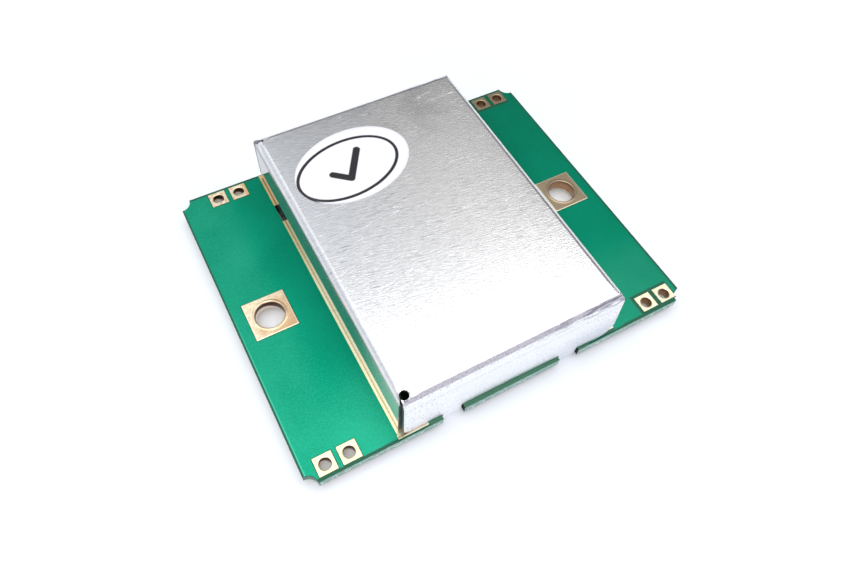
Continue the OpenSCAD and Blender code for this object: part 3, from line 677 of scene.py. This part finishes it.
# Painted shade: the sheared edges at the left corners of the can are dark, darkest at the front.
left_ends = abs(y).rise(15.0, 16.0) * (1 - x.rise(-11.0, -9.0))
sheared_colour = tears.mix(srgb(132, 136, 140), srgb(204, 206, 210))
sheared_colour = (left_ends * (0.8 - y.rise(0.0, 1.0) * 0.45)).mix(sheared_colour, srgb(62, 72, 72))
feed(shader, Base_Color=sheared_colour, Metallic=1.0, Roughness=0.4 + tears * 0.2,
     Normal=bump(tears, 0.03))
can = piece("folded_can", to_mesh(bm, "folded_can"), "shield_can")
can.data.materials.append(sheet_finish)
can.data.materials.append(sheared_finish)
thickness = can.modifiers.new("sheet", "SOLIDIFY")
thickness.thickness = sheet_t * MM
tabs = can.vertex_groups.new(name="tabs")
tabs.add([vert.index for vert in can.data.vertices if vert.co.z < (seat_z - 0.01) * MM], 1.0, "REPLACE")
thickness.vertex_group = "tabs"
thickness.thickness_vertex_group = sheet_seen / sheet_t
thickness.offset = -1.0
thickness.use_even_offset = True
thickness.material_offset_rim = 1
cut_edge = can.modifiers.new("cut_edge", "BEVEL")
cut_edge.width = cut_round * MM
cut_edge.segments = 2
cut_edge.limit_method = "ANGLE"
cut_edge.angle_limit = math.radians(50)
flat_faces = can.modifiers.new("flat_faces", "WEIGHTED_NORMAL")
flat_faces.weight = 100
flat_faces.keep_sharp = True

# Inspection label: an oval sticker of white paper, glued on the roof over the tuning screw. A black ring
# and a tick are printed on it.
label_low, label_high = (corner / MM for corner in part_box("inspection_label"))
label_x, label_y = (label_low.x + label_high.x) / 2, (label_low.y + label_high.y) / 2
label_turn = math.radians(10)
c, s = math.cos(label_turn), math.sin(label_turn)
label_half = (7.0, 5.0)
bm = bmesh.new()
rows = []
label_profile = ((0.02, 0.0), (0.0, 0.03), (0.0, 0.07), (0.03, 0.1), (0.4, 0.1), (1.6, 0.1), (3.6, 0.1))
for shrink, level in label_profile:
    oval = [((label_half[0] - shrink) * math.cos(math.tau * i / 96),
             (label_half[1] - shrink) * math.sin(math.tau * i / 96)) for i in range(96)]
    rows.append([bm.verts.new(((label_x + p * c - q * s) * MM, (label_y + p * s + q * c) * MM,
                               (label_low.z + level) * MM)) for p, q in oval])
join_rings(bm, rows)
bm.faces.new(rows[-1])
bm.faces.new(list(reversed(rows[0])))


def stroke(x, y, start, end):
    """Distance from a straight stroke of ink."""
    dx, dy = end[0] - start[0], end[1] - start[1]
    part = ((x - start[0]) * dx + (y - start[1]) * dy) / (dx * dx + dy * dy)
    part = part.most(0.0).least(1.0)
    return ((x - start[0] - part * dx) ** 2 + (y - start[1] - part * dy) ** 2) ** 0.5


paper_finish, shader, place = new_finish("sticker_paper")
x, y, _ = place.axes()
ring_x, ring_y = label_x - 0.73, label_y - 0.35
ring_turn = math.radians(9.7)
across_x = (x - ring_x) * math.cos(ring_turn) + (y - ring_y) * math.sin(ring_turn)
across_y = (y - ring_y) * math.cos(ring_turn) - (x - ring_x) * math.sin(ring_turn)
ring_long, ring_short = 6.14, 3.88
p, q = across_x / ring_long, across_y / ring_short
reach = (p * p + q * q) ** 0.5
slope = ((p / ring_long) ** 2 + (q / ring_short) ** 2) ** 0.5
wobble = place.noise(1.2, 3.0)
ring_gap = abs((reach - 1) * reach / slope)
tick_start, tick_foot, tick_end = (-2.0, 0.1), (-0.6, -1.5), (2.3, 1.7)
short_stroke = stroke(across_x, across_y, tick_start, tick_foot)
tick_gap = short_stroke.least(stroke(across_x, across_y, tick_foot, tick_end))
ink = 1 - (ring_gap + wobble * 0.04).rise(0.16, 0.25)
ink = ink.most(1 - tick_gap.rise(0.36, 0.46))
fibre = place.noise(3.0, 5.0, 0.7)
paper_colour = fibre.mix(srgb(238, 239, 242), srgb(250, 250, 251))
ink_colour = fibre.mix(srgb(10, 10, 12), srgb(34, 34, 38))
feed(shader, Base_Color=ink.mix(paper_colour, ink_colour), Roughness=0.55 - ink * 0.15,
     Normal=bump(fibre, 0.01))
label = piece("oval_sticker", to_mesh(bm, "oval_sticker"), "inspection_label", smooth=60.0)
label.data.materials.append(paper_finish)

# Floor: a white, matt table top that turns up at a distance into a low backdrop, in metres. The camera and
# mirrors see a faint glow on it, so that it looks white and keeps the module's shadow. The ground under the
# can has no glow, so that the slots beside the can stay dark.
bm = bmesh.new()
rows = []
table_profile = ((0.02, 0.0), (0.1, 0.0), (0.45, 0.0), (0.6, 0.012), (0.75, 0.05), (0.88, 0.12), (0.95, 0.2))
for radius, level in table_profile:
    rows.append([bm.verts.new((x, y, level)) for x, y in circle((0.0, 0.0), radius, 96)])
join_rings(bm, rows[::-1])
bm.faces.new(rows[0])
mesh = to_mesh(bm, "table")
mesh.shade_smooth()
floor = bpy.data.objects.new("table", mesh)
bpy.context.scene.collection.objects.link(floor)
table_finish, shader, place = new_finish("white_table")
seen = place.node("LightPath", {}, {}, "Is Camera Ray")
for ray in ("Is Glossy Ray", "Is Transmission Ray"):
    seen = seen + place.node("LightPath", {}, {}, ray)
x, y, _ = place.axes()
under_can = (1 - abs(x).rise(14.0, 14.5)) * (1 - abs(y).rise(17.0, 17.5))
far_off = ((x * x + y * y) ** 0.5).rise(34.0, 60.0)
glow = seen.least(1.0) * (1 - under_can) * (0.13 + far_off * 0.15)
glow = glow.mix((0.0, 0.0, 0.0, 1.0), (1.0, 1.0, 1.0, 1.0))
shade = place.noise(0.05, 2.0).mix((0.80, 0.825, 0.85, 1.0), (0.84, 0.865, 0.89, 1.0))
feed(shader, Base_Color=shade, Roughness=1.0, Specular_IOR_Level=0.0,
     Emission_Color=glow, Emission_Strength=1.0)
floor.data.materials.append(table_finish)

# Light: a large soft box overhead, whose straight far edge the roof mirrors, in a grey room with a window
# at the back left, and a weak lamp beside the camera. Directions in the room are given as distances
# sideways and forward on a plane one unit above the part.
world = bpy.data.worlds.new("soft_sky")
world.use_nodes = True
bpy.context.scene.world = world
sky = Wire(world.node_tree).node("TexCoord", {}, {}, "Generated")
x, y, z = sky.axes()
height = z.most(0.04)
forward, sideways = y / height, abs(x / height)
box = (1 - forward.rise(0.35, 0.47)) * forward.rise(-0.24, -0.12) * (1 - sideways.rise(0.68, 0.78))
aside = x / height
to_right = aside.rise(0.15, 0.55)
low_wall = to_right.mix((0.80, 0.85, 0.91, 1.0), (0.90, 0.88, 0.85, 1.0))
high_wall = to_right.mix((0.59, 0.63, 0.69, 1.0), (0.70, 0.67, 0.64, 1.0))
tint = forward.rise(0.57, 0.66).mix((0.80, 0.81, 0.82, 1.0), low_wall)
behind = forward.rise(0.65, 0.80).mix(tint, high_wall)
behind = (aside.rise(0.46, 0.60) * 0.7).mix(behind, (1.0, 0.98, 0.96, 1.0))
behind = (forward + aside * 0.4).rise(1.02, 1.16).mix(behind, (0.29, 0.29, 0.29, 1.0))
behind = aside.rise(0.63, 0.70).mix(behind, (0.28, 0.28, 0.28, 1.0))
window = (1 - aside.rise(0.04, 0.22)) * aside.rise(-2.4, -1.2)
behind = (1 - aside.rise(-2.0, -1.0)).mix(behind, (0.58, 0.59, 0.62, 1.0))
window_colour = aside.rise(-1.0, 0.0).mix((0.62, 0.67, 0.73, 1.0), (1.05, 1.06, 1.08, 1.0))
behind = window.mix(behind, window_colour)
room = y.rise(0.0, 0.3).mix((0.66, 0.64, 0.73, 1.0), behind)
sky_colour = box.mix(room, (2.3, 2.3, 2.3, 1.0))
sky_colour = sky.node("LightPath", {}, {}, "Is Camera Ray").mix(sky_colour, (1.0, 1.0, 1.0, 1.0))
feed(world.node_tree.nodes["Background"], Color=sky_colour)
lamp = bpy.data.lights.new("front_lamp", "AREA")
lamp.shape = "DISK"
lamp.size = 0.05
lamp.energy = 0.03
front_lamp = bpy.data.objects.new("front_lamp", lamp)
front_lamp.location = (-0.036, -0.057, 0.107)
front_lamp.rotation_euler = Vector(front_lamp.location).to_track_quat("Z", "Y").to_euler()
bpy.context.scene.collection.objects.link(front_lamp)

# Camera: at the photograph's place, looking down over the near left corner. Its turn, distance and lens
# come from fitting the board's and the can's edges.
azimuth, elevation, roll = (math.radians(angle) for angle in (-32.863, 57.971, -4.898))
view_distance, shift_right, shift_down = 78.426, 0.185, 4.214
focal_pixels, frame_pixels = 673.001, 855
back = Vector((math.sin(azimuth) * math.cos(elevation), -math.cos(azimuth) * math.cos(elevation),
               math.sin(elevation)))
level_right = (-back).cross(Vector((0, 0, 1))).normalized()
level_down = (-back).cross(level_right)
right = level_right * math.cos(roll) + level_down * math.sin(roll)
down = level_down * math.cos(roll) - level_right * math.sin(roll)
eye = back * view_distance + right * shift_right + down * shift_down + Vector((0, 0, board_top))
lens = bpy.data.cameras.new("camera")
lens.sensor_fit = "HORIZONTAL"
lens.sensor_width = 36.0
lens.lens = lens.sensor_width * focal_pixels / frame_pixels
lens.clip_start = 0.001
camera = bpy.data.objects.new("camera", lens)
turn = Matrix((right, -down, back)).transposed().to_4x4()
camera.matrix_world = Matrix.Translation(eye * MM) @ turn
bpy.context.scene.collection.objects.link(camera)
bpy.context.scene.camera = camera
bpy.context.scene.view_settings.view_transform = "Standard"
